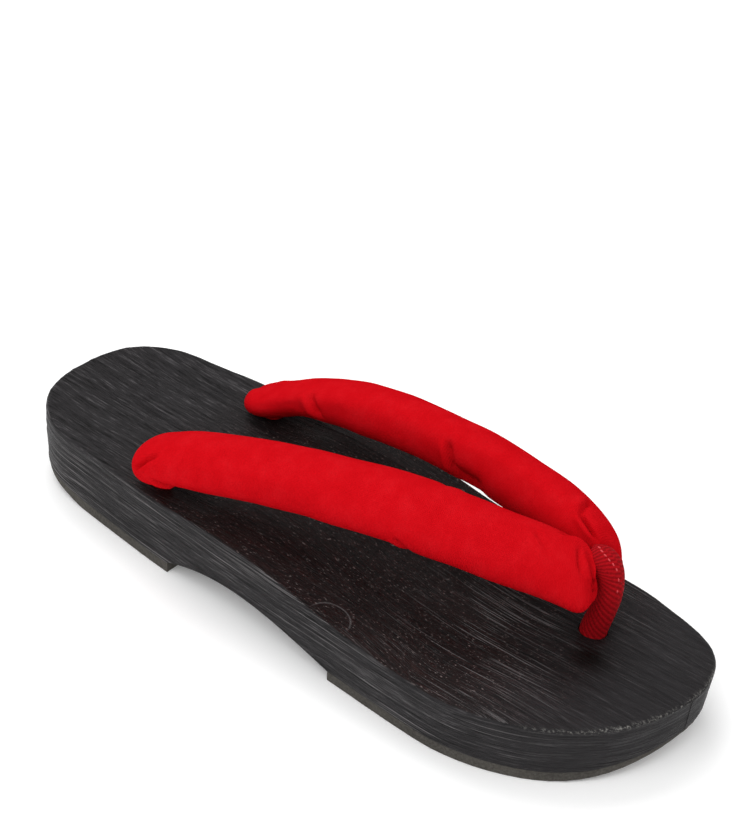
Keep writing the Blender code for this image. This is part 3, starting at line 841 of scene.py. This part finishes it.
# Rubber pads under the heel and the forefoot. Dark sheet rubber, cut to the outline, bevelled
# at the back, glued on, and holed for the strap's knots.
PAD_INSET = 0.0004
PAD_COLUMNS = 60
PAD_LEVELS = 4
PAD_ROWS_PER_ROUND = 20
PAD_ROWS_PER_LENGTH = 120
RAGGED = 0.00012
RAGGED_PITCH = 0.0016
RUBBER = (0.040, 0.036, 0.031, 1.0)
RUBBER_DUSTY = (0.085, 0.078, 0.068, 1.0)
RUBBER_GLOSS = 0.3
CRUMB_WAVES = (1100, 1100, 1100)
CRUMB_BUMP = 0.00025
CLOUD_WAVES = (60, 60, 60)
PAD_SHARP_ANGLE = math.radians(40)

tread_rubber, tree, shader = new_material("tread_rubber")
coordinates = node(tree, "ShaderNodeTexCoord").outputs["Object"]
crumbs = noisy(tree, coordinates, CRUMB_WAVES, 4.0, 0.7)
clouds = noisy(tree, coordinates, CLOUD_WAVES, 3.0, 0.5)
tone = added(tree, calculated(tree, "MULTIPLY", crumbs, 0.7), clouds, 0.3)
tree.links.new(ramp(tree, tone, ((0.38, RUBBER), (0.66, RUBBER_DUSTY))), shader.inputs["Base Color"])
tree.links.new(ramp(tree, crumbs, ((0.3, grey(0.92)), (0.7, grey(0.72)))), shader.inputs["Roughness"])
shader.inputs["Specular IOR Level"].default_value = RUBBER_GLOSS
tree.links.new(bumped(tree, crumbs, CRUMB_BUMP), shader.inputs["Normal"])

pad_rows = board_rows(PAD_ROWS_PER_ROUND, PAD_ROWS_PER_LENGTH)
for name, node_name, part_rows in (
    ("heel_rubber", "heel_pad", [r for r in pad_rows if r * LENGTH <= HEEL_PAD_FRONT + GAP]),
    ("forefoot_rubber", "forefoot_pad", [r for r in pad_rows if r * LENGTH >= FORE_PAD_BACK - GAP]),
):
    pad = new_piece(
        name,
        slab(
            part_rows,
            PAD_COLUMNS,
            PAD_LEVELS,
            lambda along, across: underside(along) - GAP,
            lambda along, across: tread(along),
            PAD_INSET,
            False,
        ),
    )
    drill(pad)
    bm = bmesh.new()
    bm.from_mesh(pad.data)
    bm.normal_update()
    for vert in bm.verts:
        if abs(vert.normal.z) < 0.9:
            rough = noise.noise(vert.co / RAGGED_PITCH)
            side = Vector((vert.normal.x, vert.normal.y, 0.0))
            vert.co += side * RAGGED * rough
    bm.to_mesh(pad.data)
    bm.free()
    pad.data.shade_smooth()
    pad.data.set_sharp_from_angle(angle=PAD_SHARP_ANGLE)
    pad.data.materials.clear()
    pad.data.materials.append(tread_rubber)
    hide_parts(node_name)
    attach(pad, "root")


# Padded strap. A tube of plain red cotton, stuffed with wadding, whose two arms meet behind the toe
# thong. Its ends are gathered and stitched, so it creases near them and where it bends.
STRAP_SIDES = 44
STRAP_PARTS = 84
CAP_ANGLES = (8, 16, 24, 32, 40, 48, 56, 64, 72, 80)
REAR_CAP_LENGTH = 0.0100
FRONT_CAP_LENGTH = 0.0070
REAR_CAP_POWER = 2.4
FRONT_CAP_POWER = 2.4
DIRECTION_REACH = 0.004
STUFFING_ROOM = 0.0006
STUFFING_PRESSURE = 4.0
STUFFING_FRAMES = 20
STUFFING_QUALITY = 5
SWELL_LIMIT = 0.0009
SEAM_GAP = 0.00015
STRAP_GIRTH = 0.066
CREASES = (
    # side, start and end as share of the length and turn round the arm, depth, half width
    (1, (0.258, 0.780), (0.296, 0.868), 0.0024, 0.0010),
    (1, (0.288, 0.700), (0.306, 0.580), 0.0026, 0.0010),
    (1, (0.280, 0.560), (0.330, 0.600), 0.0016, 0.0013),
    (1, (0.636, 0.160), (0.656, 0.215), 0.0010, 0.0012),
    (1, (0.611, 0.775), (0.628, 0.670), 0.0013, 0.0010),
    (1, (0.806, 0.205), (0.842, 0.360), 0.0026, 0.0009),
    (1, (0.840, 0.050), (0.832, 0.180), 0.0016, 0.0008),
    (1, (0.826, 0.470), (0.838, 0.700), 0.0014, 0.0012),
    (1, (0.770, 0.100), (0.800, 0.040), 0.0009, 0.0012),
    (-1, (0.232, 0.010), (0.264, 0.060), 0.0011, 0.0080),
    (-1, (0.348, 0.860), (0.366, 0.670), 0.0022, 0.0012),
    (-1, (0.578, 0.775), (0.594, 0.600), 0.0024, 0.0010),
    (-1, (0.590, 0.600), (0.640, 0.580), 0.0022, 0.0042),
    (-1, (0.778, 0.955), (0.796, 0.790), 0.0017, 0.0009),
    (-1, (0.797, 0.790), (0.828, 0.735), 0.0030, 0.0010),
    (-1, (0.740, 0.200), (0.762, 0.120), 0.0009, 0.0012),
)
CREASE_MIDDLE = (0.25, 0.75)
CREASE_FADE = 16.0
FOLD_SHARE = 0.35
FOLD_OFFSET = 2.2
FOLD_SPREAD = 1.5
WIDE_DENT = 0.0020
DIMPLE_PITCH = 0.013
DIMPLE_DEPTH = 0.00045


def loft(bm, sections, sides):
    """Add a closed tube through round sections, with its turn and its ring number on each point."""
    turn = bm.verts.layers.float.get("turn") or bm.verts.layers.float.new("turn")
    ring_number = bm.verts.layers.float.get("ring") or bm.verts.layers.float.new("ring")
    loops = []
    for number, matrix in enumerate(sections):
        made = bmesh.ops.create_circle(bm, segments=sides, radius=1.0, matrix=matrix)
        ring = made["verts"]
        for i, vert in enumerate(ring):
            vert[turn] = i / sides
            vert[ring_number] = number
        members = set(ring)
        edges = [edge for vert in ring for edge in vert.link_edges if members.issuperset(edge.verts)]
        loops.append(list(dict.fromkeys(edges)))
        if number in (0, len(sections) - 1):
            cap = bmesh.ops.contextual_create(bm, geom=ring)["faces"]
            middle = bmesh.ops.poke(bm, faces=cap)["verts"]
            for vert in middle:
                vert[ring_number] = number
    for first, second in zip(loops, loops[1:]):
        bmesh.ops.bridge_loops(bm, edges=first + second)
    bmesh.ops.recalc_face_normals(bm, faces=bm.faces)


def wrap_cloth(bm, girth, run):
    """Lay UV coordinates in metres round and along a loft, so that a weave keeps its size."""
    turn = bm.verts.layers.float["turn"]
    ring_number = bm.verts.layers.float["ring"]
    cloth = bm.loops.layers.uv.new("cloth")
    for face in bm.faces:
        turns = [corner.vert[turn] for corner in face.loops]
        over = max(turns) - min(turns) > 0.5
        for corner in face.loops:
            around = corner.vert[turn]
            if over and around < 0.5:
                around += 1.0
            corner[cloth].uv = (around * girth, run(corner.vert[ring_number]))


def arm_point(table, along):
    """Middle of a padded arm at a share of the length."""
    return place(along, read(table, along, 1), read(table, along, 2) * STRAP_HEIGHT)


def arm_section(table, side, along, cap, shrink):
    """Matrix of an arm's oval section at a share of the length."""
    before, after = along - DIRECTION_REACH, along + DIRECTION_REACH
    forward = (arm_point(table, after) - arm_point(table, before)).normalized()
    tilt = side * math.radians(read(table, along, 3))
    sideways = forward.cross(Vector((0, 0, 1))).normalized()
    forward = Matrix.Rotation(math.radians(read(table, along, 6)), 3, sideways) @ forward
    upward = sideways.cross(forward)
    turned = sideways * math.cos(tilt) - upward * math.sin(tilt)
    thickness = upward * math.cos(tilt) + sideways * math.sin(tilt)
    half_width = cap * (read(table, along, 4) * STRAP_WIDTH / 2 - shrink)
    half_thick = cap * (read(table, along, 5) * STRAP_THICKNESS / 2 - shrink)
    matrix = Matrix((turned * half_width, thickness * half_thick, forward)).transposed()
    return Matrix.Translation(arm_point(table, along)) @ matrix.to_4x4()


def arm_stops(table):
    """Shares of the length at which an arm has a section, closer together at its round ends."""
    start, end = table[0][0], table[-1][0]
    rear, front = REAR_CAP_LENGTH / LENGTH, FRONT_CAP_LENGTH / LENGTH
    turns = [1 - math.cos(math.radians(angle)) for angle in CAP_ANGLES]
    first, last = start + rear, end - front
    stops = [start + rear * turn for turn in turns]
    stops += [first + (last - first) * i / STRAP_PARTS for i in range(STRAP_PARTS + 1)]
    stops += [end - front * turn for turn in reversed(turns)]
    return stops


def cap_share(table, along):
    """How much of the full section is reached near an arm's round ends."""
    rear, front = REAR_CAP_LENGTH / LENGTH, FRONT_CAP_LENGTH / LENGTH
    at_rear = round_share(along - table[0][0], rear, REAR_CAP_POWER)
    return at_rear * round_share(table[-1][0] - along, front, FRONT_CAP_POWER)


def stuff(piece):
    """Let the cloth swell under the wadding, each point by no more than a limit."""
    resting = [vert.co.copy() for vert in piece.data.vertices]
    cloth = piece.modifiers.new("stuffing", "CLOTH")
    cloth.settings.use_pressure = True
    cloth.settings.uniform_pressure_force = STUFFING_PRESSURE
    cloth.settings.effector_weights.gravity = 0.0
    cloth.settings.quality = STUFFING_QUALITY
    for number in range(1, STUFFING_FRAMES + 1):
        bpy.context.scene.frame_set(number)
    finish_mesh(piece)
    for vert, rest in zip(piece.data.vertices, resting):
        way = vert.co - rest
        if way.length > SWELL_LIMIT:
            vert.co = rest + way * (SWELL_LIMIT / way.length)
    bpy.context.scene.frame_set(1)


def sunk(side, along, turn):
    """How deep the creases lie at a point of an arm. A shallow fold stands beside each narrow one."""
    depth = 0.0
    for crease_side, start, end, deep, half in CREASES:
        if crease_side != side:
            continue
        way = Vector(((end[0] - start[0]) * LENGTH, (end[1] - start[1]) * STRAP_GIRTH))
        offset = (turn - start[1] + 0.5) % 1.0 - 0.5
        spot = Vector(((along - start[0]) * LENGTH, offset * STRAP_GIRTH))
        reach = spot.dot(way) / way.length_squared
        beside = (spot.x * way.y - spot.y * way.x) / way.length
        past = max(reach - CREASE_MIDDLE[1], CREASE_MIDDLE[0] - reach, 0.0)
        fade = math.exp(-CREASE_FADE * past**2)
        groove = math.exp(-((beside / half) ** 2))
        fold = math.exp(-(((beside - FOLD_OFFSET * half) / (FOLD_SPREAD * half)) ** 2))
        raised = FOLD_SHARE if half < WIDE_DENT else 0.0
        depth += deep * fade * (groove - raised * fold)
    return depth


shrink = STUFFING_ROOM
arms = []
for side, table in ((1, LATERAL_ARM), (-1, MEDIAL_ARM)):
    stops = arm_stops(table)
    bm = bmesh.new()
    loft(bm, [arm_section(table, side, a, cap_share(table, a), shrink) for a in stops], STRAP_SIDES)

    def run_of(number):
        """Run of the cloth, in metres from the heel, at a ring of this arm or between two rings."""
        low = min(int(number), len(stops) - 1)
        high = min(low + 1, len(stops) - 1)
        return (stops[low] + (number - low) * (stops[high] - stops[low])) * LENGTH

    wrap_cloth(bm, STRAP_GIRTH, run_of)
    half_strap = new_piece("half_strap", bm)
    stuff(half_strap)
    softer = half_strap.modifiers.new("softer", "SUBSURF")
    softer.levels = 1
    softer.render_levels = 1
    finish_mesh(half_strap)

    bm = bmesh.new()
    bm.from_mesh(half_strap.data)
    bm.normal_update()
    cloth = bm.loops.layers.uv["cloth"]
    other = MEDIAL_ARM if side > 0 else LATERAL_ARM
    moves = {}
    for vert in bm.verts:
        around, run = vert.link_loops[0][cloth].uv
        along, turn = run / LENGTH, around / STRAP_GIRTH
        dimple = noise.noise(vert.co / DIMPLE_PITCH)
        moves[vert] = vert.normal * (DIMPLE_DEPTH * dimple - sunk(side, along, turn))
    for vert, move in moves.items():
        vert.co += move
        along = min(max(vert.co.y / LENGTH + 0.5, table[0][0]), table[-1][0])
        seam = (arm_point(table, along).x + arm_point(other, along).x) / 2 + side * SEAM_GAP
        vert.co.x = side * max(side * vert.co.x, side * seam)
        half = (board_side(along, 1) - board_side(along, -1)) / 2
        middle = (board_side(along, 1) + board_side(along, -1)) / 2
        across = min(max((vert.co.x - middle) / half, -1.0), 1.0)
        vert.co.z = max(vert.co.z, footbed(along, across) + GAP)
    bm.to_mesh(half_strap.data)
    bm.free()
    arms.append(half_strap)

bm = bmesh.new()
for half_strap in arms:
    bm.from_mesh(half_strap.data)
    bpy.data.objects.remove(half_strap, do_unlink=True)
strap = new_piece("padded_strap", bm)

COTTON_RED = (0.53, 0.0040, 0.0080, 1.0)
COTTON_SHADE = (0.49, 0.0030, 0.0062, 1.0)
COTTON_FADED = (0.57, 0.0072, 0.0120, 1.0)
COTTON_ROUGHNESS = 0.95
COTTON_NAP = (1900, 1900, 1900)
COTTON_MOTTLE = (150, 150, 150)
WEAVE_THREADS = 2000.0
WEAVE_DEPTH = 0.00006
NAP_DEPTH = 0.00010

red_cotton, tree, shader = new_material("red_cotton")
coordinates = node(tree, "ShaderNodeTexCoord").outputs["Object"]
nap = noisy(tree, coordinates, COTTON_NAP, 3.0, 0.7)
mottle = noisy(tree, coordinates, COTTON_MOTTLE, 4.0, 0.6)
tone = added(tree, calculated(tree, "MULTIPLY", nap, 0.4), mottle, 0.6)
cotton = ramp(tree, tone, ((0.34, COTTON_SHADE), (0.50, COTTON_RED), (0.68, COTTON_FADED)))
tree.links.new(cotton, shader.inputs["Base Color"])
shader.inputs["Roughness"].default_value = COTTON_ROUGHNESS
shader.inputs["Specular IOR Level"].default_value = 0.0
cloth_map = node(tree, "ShaderNodeUVMap", uv_map="cloth").outputs["UV"]
threads = []
for axis in ("X", "Y"):
    wave = node(tree, "ShaderNodeTexWave", bands_direction=axis)
    wave.inputs["Scale"].default_value = WEAVE_THREADS * math.pi / 10
    tree.links.new(cloth_map, wave.inputs["Vector"])
    threads.append(wave.outputs["Fac"])
weave = calculated(tree, "ADD", threads[0], threads[1])
cloth_relief = added(tree, calculated(tree, "MULTIPLY", weave, WEAVE_DEPTH), nap, NAP_DEPTH)
tree.links.new(bumped(tree, cloth_relief, 1.0), shader.inputs["Normal"])

strap.data.materials.clear()
strap.data.materials.append(red_cotton)
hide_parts("hanao")
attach(strap, "root")


# Cloth tails of the strap and its neck. The tails go down through the board, and each ends in a knot
# that sits in the counterbore. The neck joins the arms through the toe thong's loop.
TAIL_SIDES = 24
TAIL_STEPS = (0.0, 0.25, 0.5, 0.75)
NECK_RADIUS = 0.0024
NECK_SHARES = (0.8370, -0.306, 0.870)
NECK_STEPS = (-0.78, -0.45, -0.12, 0.18, 0.45)


def knot_place(spot, height):
    """Middle of a knot that sits under the roof of its counterbore."""
    return Vector((spot.x, spot.y, counterbore_ceiling(spot, height) - GAP - height / 2))


def tie_knot(bm, middle, radius, height):
    """Add a pulled-tight knot, as a flat ball."""
    ball = Matrix.Translation(middle) @ Matrix.Diagonal((radius, radius, height / 2, 1.0))
    bmesh.ops.create_uvsphere(bm, u_segments=32, v_segments=20, radius=1.0, matrix=ball)


bm = bmesh.new()
round_tail = Matrix.Diagonal((TAIL_RADIUS, TAIL_RADIUS, 1, 1))
for table in (LATERAL_ARM, MEDIAL_ARM):
    spot = tail_spot(table)
    knot_middle = knot_place(spot, TAIL_KNOT_HEIGHT)
    top = arm_point(table, spot.y / LENGTH + 0.5)
    tail = [Matrix.Translation(knot_middle.lerp(top, step)) @ round_tail for step in TAIL_STEPS]
    loft(bm, tail, TAIL_SIDES)
    tie_knot(bm, knot_middle, TAIL_KNOT_RADIUS, TAIL_KNOT_HEIGHT)
neck_middle = place(NECK_SHARES[0], NECK_SHARES[1], NECK_SHARES[2] * STRAP_HEIGHT)
neck_turn = Matrix.Rotation(math.pi / 2, 4, "Y") @ Matrix.Diagonal((NECK_RADIUS, NECK_RADIUS, 1, 1))
neck_spots = [neck_middle + Vector((THONG_WIDTH * step, 0, 0)) for step in NECK_STEPS]
loft(bm, [Matrix.Translation(spot) @ neck_turn for spot in neck_spots], TAIL_SIDES)
tails = new_piece("strap_tails", bm)
tails.data.materials.append(red_cotton)
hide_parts("hanao")
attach(tails, "root")


# Toe thong. A band of dark red twill folded round the strap's neck and sewn shut, pulled down
# through the front hole and knotted under the board.
THONG_SIDES = 48
THONG_PARTS = 48
THONG_GIRTH = 0.029
THONG_CLOTH_RUN = 0.0406
TWILL_RIBS = 760.0
TWILL_SLANT = 0.55
STITCH_RADIUS = 0.00026
STITCH_LENGTH = 0.0012
STITCHES = (
    # share of the thong's rows, turn round it
    (6.42, 0.985),
    (6.12, 0.952),
    (5.80, 0.936),
    (5.46, 0.930),
    (5.12, 0.938),
    (4.78, 0.948),
    (4.20, 0.944),
    (3.62, 0.930),
)
THONG_ROWS = [(number, *row) for number, row in enumerate(THONG)]


def thong_point(row):
    """Middle of the toe thong at a row of its table, or between two rows."""
    along, across, height = (read(THONG_ROWS, row, column) for column in (1, 2, 3))
    return place(along, across, height * STRAP_HEIGHT)


def thong_section(row):
    """Matrix of the thong's oval section at a row of its table, or between two rows."""
    last = len(THONG) - 1
    forward = (thong_point(min(row + 0.5, last)) - thong_point(max(row - 0.5, 0))).normalized()
    across = forward.cross(Vector((1, 0, 0))).normalized()
    sideways = across.cross(forward)
    half_width = read(THONG_ROWS, row, 5) * THONG_WIDTH / 2
    half_thick = read(THONG_ROWS, row, 4) * THONG_THICKNESS / 2
    matrix = Matrix((sideways * half_width, across * half_thick, forward)).transposed()
    return Matrix.Translation(thong_point(row)) @ matrix.to_4x4()


thong_stops = [(len(THONG) - 1) * i / THONG_PARTS for i in range(THONG_PARTS + 1)]
bm = bmesh.new()
loft(bm, [thong_section(stop) for stop in thong_stops], THONG_SIDES)
wrap_cloth(bm, THONG_GIRTH, lambda number: number / THONG_PARTS * THONG_CLOTH_RUN)
knot_middle = knot_place(place(THONG[0][0], THONG[0][1], 0.0), THONG_KNOT_HEIGHT)
tie_knot(bm, knot_middle, THONG_KNOT_RADIUS, THONG_KNOT_HEIGHT)
thong = new_piece("toe_thong", bm)

TWILL_RED = (0.40, 0.0034, 0.0080, 1.0)
TWILL_DARK = (0.21, 0.0012, 0.0034, 1.0)
TWILL_ROUGHNESS = 0.9
TWILL_GLOSS = 0.08
TWILL_NAP = (1500, 1500, 1500)
TWILL_UNEVEN = 0.8
TWILL_BUMP = 0.00028

dark_red_twill, tree, shader = new_material("dark_red_twill")
coordinates = node(tree, "ShaderNodeTexCoord").outputs["Object"]
nap = noisy(tree, coordinates, TWILL_NAP, 3.0, 0.7)
cloth_map = node(tree, "ShaderNodeUVMap", uv_map="cloth").outputs["UV"]
slanted = node(tree, "ShaderNodeMapping")
slanted.inputs["Rotation"].default_value = (0, 0, TWILL_SLANT)
tree.links.new(cloth_map, slanted.inputs["Vector"])
ribs = node(tree, "ShaderNodeTexWave", bands_direction="Y")
ribs.inputs["Scale"].default_value = TWILL_RIBS * math.pi / 10
ribs.inputs["Distortion"].default_value = TWILL_UNEVEN
tree.links.new(slanted.outputs["Vector"], ribs.inputs["Vector"])
tone = added(tree, calculated(tree, "MULTIPLY", nap, 0.55), ribs.outputs["Fac"], 0.25)
tree.links.new(ramp(tree, tone, ((0.25, TWILL_DARK), (0.55, TWILL_RED))), shader.inputs["Base Color"])
shader.inputs["Roughness"].default_value = TWILL_ROUGHNESS
shader.inputs["Specular IOR Level"].default_value = TWILL_GLOSS
tree.links.new(bumped(tree, tone, TWILL_BUMP), shader.inputs["Normal"])
thong.data.materials.append(dark_red_twill)
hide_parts("maetsubo")
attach(thong, "root")

# Stitches of paler thread that sew the band shut, seen down its outer side.
THREAD_RED = (0.62, 0.060, 0.070, 1.0)
THREAD_ROUGHNESS = 0.8
THREAD_GLOSS = 0.1

bm = bmesh.new()
for row, turn in STITCHES:
    section = thong_section(row)
    angle = 2 * math.pi * turn
    spot = section @ Vector((-math.sin(angle), math.cos(angle), 0.0))
    along_thong = section.col[2].xyz.normalized()
    lying = along_thong.to_track_quat("Z", "Y").to_matrix().to_4x4()
    size = Matrix.Diagonal((STITCH_RADIUS, STITCH_RADIUS, STITCH_LENGTH / 2, 1.0))
    stitch = Matrix.Translation(spot) @ lying @ size
    bmesh.ops.create_uvsphere(bm, u_segments=12, v_segments=8, radius=1.0, matrix=stitch)
stitches = new_piece("thong_stitches", bm)
sewing_thread, tree, shader = new_material("sewing_thread")
shader.inputs["Base Color"].default_value = THREAD_RED
shader.inputs["Roughness"].default_value = THREAD_ROUGHNESS
shader.inputs["Specular IOR Level"].default_value = THREAD_GLOSS
stitches.data.materials.append(sewing_thread)
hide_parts("maetsubo")
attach(stitches, "root")

bpy.data.objects.remove(drilling, do_unlink=True)
